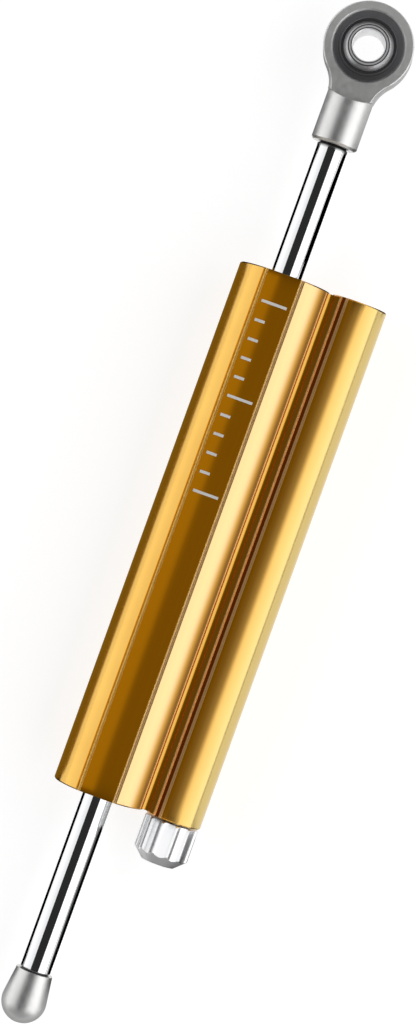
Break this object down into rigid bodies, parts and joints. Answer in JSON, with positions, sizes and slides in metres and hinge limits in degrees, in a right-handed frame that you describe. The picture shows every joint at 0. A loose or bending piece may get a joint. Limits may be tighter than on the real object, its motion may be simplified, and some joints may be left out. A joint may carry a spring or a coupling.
{
  "type": "motorcycle steering damper",
  "caption": "Gold twin-lobe steering damper with a chromed through-rod, a spherical rod end, a domed end cap and a fluted knob that sets the damping.",
  "frame": {"origin": "on the rod axis, in the middle of the body's length", "axes": "+X along the rod towards the rod end, +Z along the bolt of the rod end and out of the label flat, the small lobe with the knob lies at -Y"},
  "size_m": [0.2719, 0.039, 0.0228],
  "materials": {
    "gold_anodised": "polished and gold anodised",
    "chrome": "hard chrome, ground and polished",
    "plated_steel": "satin plated",
    "bright_alloy": "bright turned",
    "ball_steel": "ground and polished",
    "race_steel": "dark oxide",
    "liner": "woven low-friction liner",
    "turned_alloy": "turned",
    "rubber": "matt",
    "black_spring_steel": "phosphated",
    "bronze": "sintered",
    "brass": "turned",
    "turned_steel": "turned"
  },
  "bodies": {
    "body": {"damper_body": "gold_anodised", "upper_gland": "turned_alloy", "lower_gland": "turned_alloy", "upper_bush": "bronze", "lower_bush": "bronze", "upper_oil_seal": "rubber", "lower_oil_seal": "rubber", "upper_wiper": "rubber", "lower_wiper": "rubber", "upper_gland_o_ring": "rubber", "lower_gland_o_ring": "rubber", "upper_circlip": "black_spring_steel", "lower_circlip": "black_spring_steel", "gallery_plug": "turned_alloy", "gallery_plug_o_ring": "rubber", "adjuster_housing": "brass", "adjuster_housing_o_ring": "rubber", "needle_guide": "turned_steel"},
    "piston": {"piston": "turned_alloy", "piston_ring": "liner", "piston_washers": "turned_steel"},
    "rod": {"piston_rod": "chrome", "piston_circlips": "black_spring_steel", "rod_end": "plated_steel", "bearing_race": "race_steel", "bearing_liner": "liner", "end_cap": "plated_steel"},
    "ball": {"bearing_ball": "ball_steel"},
    "knob": {"adjuster_knob": "bright_alloy", "knob_grub_screw": "black_spring_steel", "adjuster_spindle": "turned_steel", "spindle_o_ring": "rubber", "detent_ball": "ball_steel", "detent_spring": "turned_steel"},
    "needle": {"needle": "turned_steel"}
  },
  "joints": [
    {"name": "rod_slide", "type": "slide", "parent": "body", "child": "piston", "axis": [1, 0, 0], "range_m": [-0.03125, 0.04375]},
    {"name": "rod_turn", "type": "hinge", "parent": "piston", "child": "rod", "pos_m": [0, 0, 0], "axis": [1, 0, 0], "continuous": true},
    {"name": "ball_tilt", "type": "hinge", "parent": "rod", "child": "ball", "pos_m": [0.1302, 0, 0], "axis": [0, 1, 0], "range_deg": [-13, 13]},
    {"name": "knob_turn", "type": "hinge", "parent": "body", "child": "knob", "pos_m": [0, -0.01975, 0], "axis": [1, 0, 0], "range_deg": [-270, 270]},
    {"name": "needle_travel", "type": "slide", "parent": "body", "child": "needle", "axis": [1, 0, 0], "range_m": [-0.0006, 0.0006]}
  ],
  "couplings": [
    {"joint": "knob_turn", "follows": "needle_travel", "rad_per_m": 7853}
  ]
}
